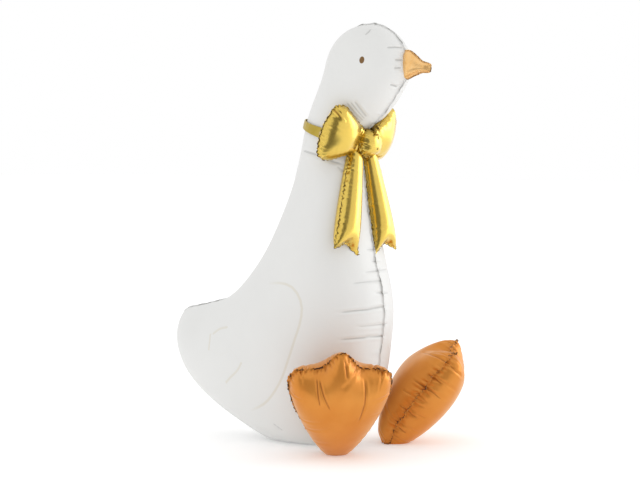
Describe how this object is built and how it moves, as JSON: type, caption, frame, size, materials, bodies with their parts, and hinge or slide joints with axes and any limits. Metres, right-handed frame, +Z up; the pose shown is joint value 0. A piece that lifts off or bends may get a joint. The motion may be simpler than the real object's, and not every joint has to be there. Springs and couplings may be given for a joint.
{
  "type": "goose foil balloon",
  "caption": "Large standing goose made of foil balloons, with a round body, long neck, small beak, webbed feet held up in front and a bow at the throat.",
  "frame": {"origin": "on the floor, under the middle of the goose's bounding box", "axes": "+Z up, -Y the way the goose faces, +X its left side"},
  "size_m": [0.6548, 0.8678, 1.1568],
  "materials": {
    "white_foil": "white printed polyester foil, satin",
    "beak_foil": "pale orange pearl polyester foil",
    "orange_foil": "orange pearl polyester foil, satin",
    "gold_foil": "gold metallised polyester foil, glossy"
  },
  "bodies": {
    "root": {"body": "white_foil", "beak": "beak_foil", "right_foot": "orange_foil", "left_foot": "orange_foil", "bow": "gold_foil", "neck_band": "gold_foil"}
  },
  "joints": []
}
